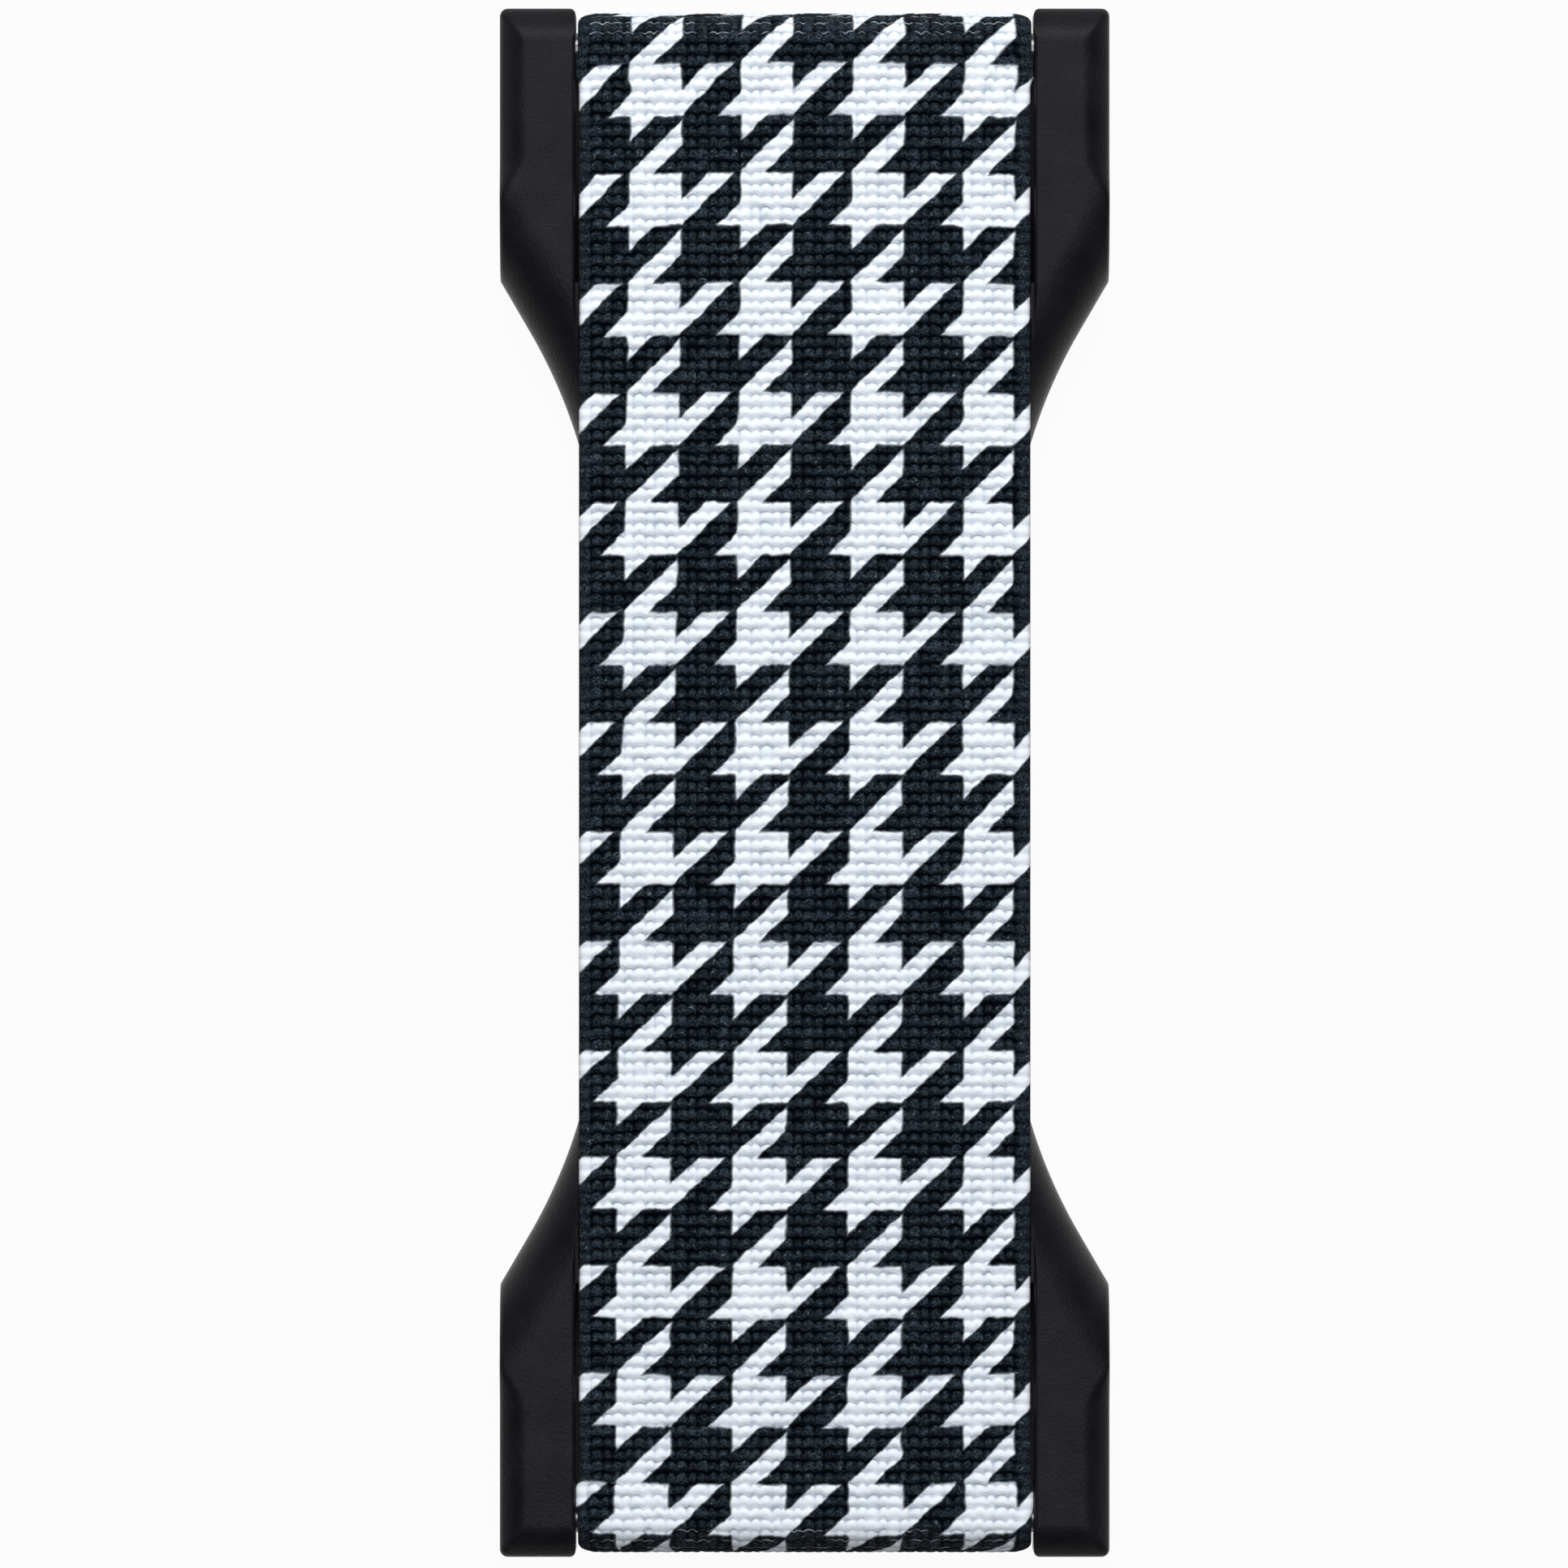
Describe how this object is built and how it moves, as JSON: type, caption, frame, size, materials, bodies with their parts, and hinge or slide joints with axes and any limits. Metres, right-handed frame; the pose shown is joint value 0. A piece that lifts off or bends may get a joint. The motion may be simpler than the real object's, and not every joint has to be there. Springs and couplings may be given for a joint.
{
  "type": "phone finger strap",
  "caption": "Slim waisted black base that sticks to the back of a phone, with a taut band of woven elastic in a houndstooth check running over it as a finger loop.",
  "frame": {"origin": "middle of the adhesive face, which lies at Z = 0", "axes": "+Y along the band, +X across it, +Z away from the phone"},
  "size_m": [0.0382, 0.0968, 0.0067],
  "materials": {
    "black_plastic": "near-black moulded plastic with a fine satin grain",
    "plate_plastic": "charcoal moulded plastic, matte",
    "pad_foam": "charcoal acrylic foam with a tacky skin",
    "elastic_webbing": "woven elastic, black and white houndstooth print",
    "pin_steel": "drawn steel wire",
    "clip_steel": "pressed steel sheet"
  },
  "bodies": {
    "root": {"base": "black_plastic", "closing_plate": "plate_plastic", "adhesive_pad": "pad_foam", "strap": "elastic_webbing", "pin_top": "pin_steel", "pin_bottom": "pin_steel", "end_clip_top": "clip_steel", "end_clip_bottom": "clip_steel"}
  },
  "joints": []
}
